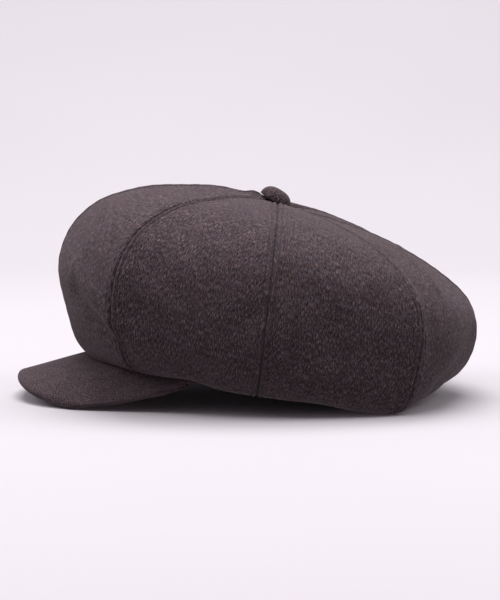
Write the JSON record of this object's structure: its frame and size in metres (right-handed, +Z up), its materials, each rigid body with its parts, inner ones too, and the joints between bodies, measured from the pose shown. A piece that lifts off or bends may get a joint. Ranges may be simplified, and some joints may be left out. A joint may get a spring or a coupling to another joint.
{
  "type": "newsboy cap",
  "caption": "Full soft panelled cap with a covered button on top, a short curved visor in front and a lined, open head space with a sweatband.",
  "frame": {"origin": "centre of the cap's footprint box, on the surface it lies on", "axes": "+Z up; the visor points to -Y and +Y is the back of the cap; +X is the wearer's left"},
  "size_m": [0.2396, 0.3002, 0.137],
  "materials": {
    "wool_cloth": "melange wool coating, brown grey",
    "lining_satin": "satin weave, dark",
    "cotton_sweatband": "cotton twill, dark",
    "interlining": "stiffened non-woven",
    "cotton_tape": "herringbone tape",
    "woven_label": "damask weave, blank",
    "visor_board": "moulded sheet",
    "button_steel": "pressed, zinc plated",
    "button_thread": "waxed twist",
    "backing_felt": "pressed felt"
  },
  "bodies": {
    "crown": {"crown_panel_front_left": "wool_cloth", "crown_panel_side_front_left": "wool_cloth", "crown_panel_side_back_left": "wool_cloth", "crown_panel_back_left": "wool_cloth", "crown_panel_front_right": "wool_cloth", "crown_panel_side_front_right": "wool_cloth", "crown_panel_side_back_right": "wool_cloth", "crown_panel_back_right": "wool_cloth", "button_cover": "wool_cloth", "crown_seam_allowance": "wool_cloth", "crown_tip_seams": "wool_cloth", "lining_panel_front_left": "lining_satin", "lining_panel_side_front_left": "lining_satin", "lining_panel_side_back_left": "lining_satin", "lining_panel_back_left": "lining_satin", "lining_panel_front_right": "lining_satin", "lining_panel_side_front_right": "lining_satin", "lining_panel_side_back_right": "lining_satin", "lining_panel_back_right": "lining_satin", "sweatband": "cotton_sweatband", "band_interlining": "interlining", "visor_seam_tape": "cotton_tape", "blank_label": "woven_label", "button_shell": "button_steel", "button_plate": "button_steel", "button_thread": "button_thread", "button_backing": "backing_felt"},
    "visor": {"visor_top_cloth": "wool_cloth", "visor_board": "visor_board", "visor_under_cloth": "wool_cloth"}
  },
  "joints": [
    {"name": "visor_tilt", "type": "hinge", "parent": "crown", "child": "visor", "pos_m": [0, -0.068, 0.0225], "axis": [1, 0, 0], "range_deg": [-4, 4], "stiffness_Nm_per_rad": 1.5}
  ]
}
